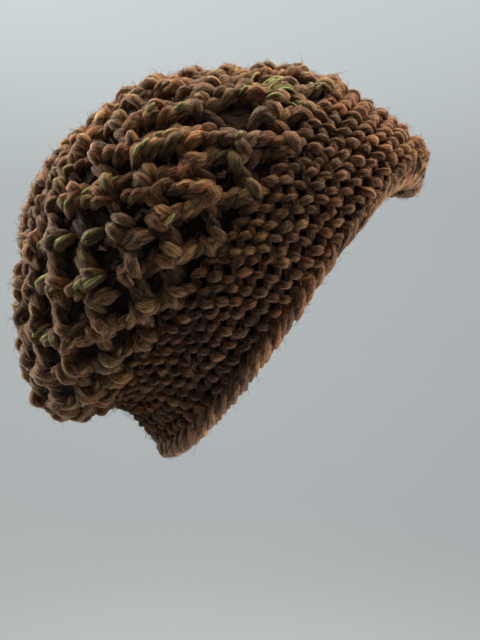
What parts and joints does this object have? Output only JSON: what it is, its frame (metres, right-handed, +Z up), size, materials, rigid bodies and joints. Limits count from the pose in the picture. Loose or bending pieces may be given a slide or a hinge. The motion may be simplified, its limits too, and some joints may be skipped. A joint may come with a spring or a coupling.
{
  "type": "slouchy crocheted beanie",
  "caption": "Slouchy beanie crocheted in thick variegated yarn: a dense ribbed band with a scalloped edge and a loose openwork crown that sags at the back.",
  "frame": {"origin": "middle of the head opening, in the plane of the rim, where the head that holds the hat goes in", "axes": "+Z up as worn, +X towards the brow, +Y towards the wearer's left; the rim tilts, high at the brow and low at the nape"},
  "size_m": [0.2377, 0.1804, 0.2251],
  "materials": {
    "edging_yarn": "thick fuzzy yarn, brown with tan plies, in long slanted edge stitches",
    "band_yarn": "thick fuzzy yarn, dark brown with rust and tan plies, in dense single crochet",
    "crown_yarn": "thick fuzzy yarn, dark brown and rust with stretches of green, in open ropey stitches"
  },
  "bodies": {
    "root": {"edging": "edging_yarn", "band": "band_yarn", "crown": "crown_yarn", "crown_centre": "crown_yarn"}
  },
  "joints": []
}
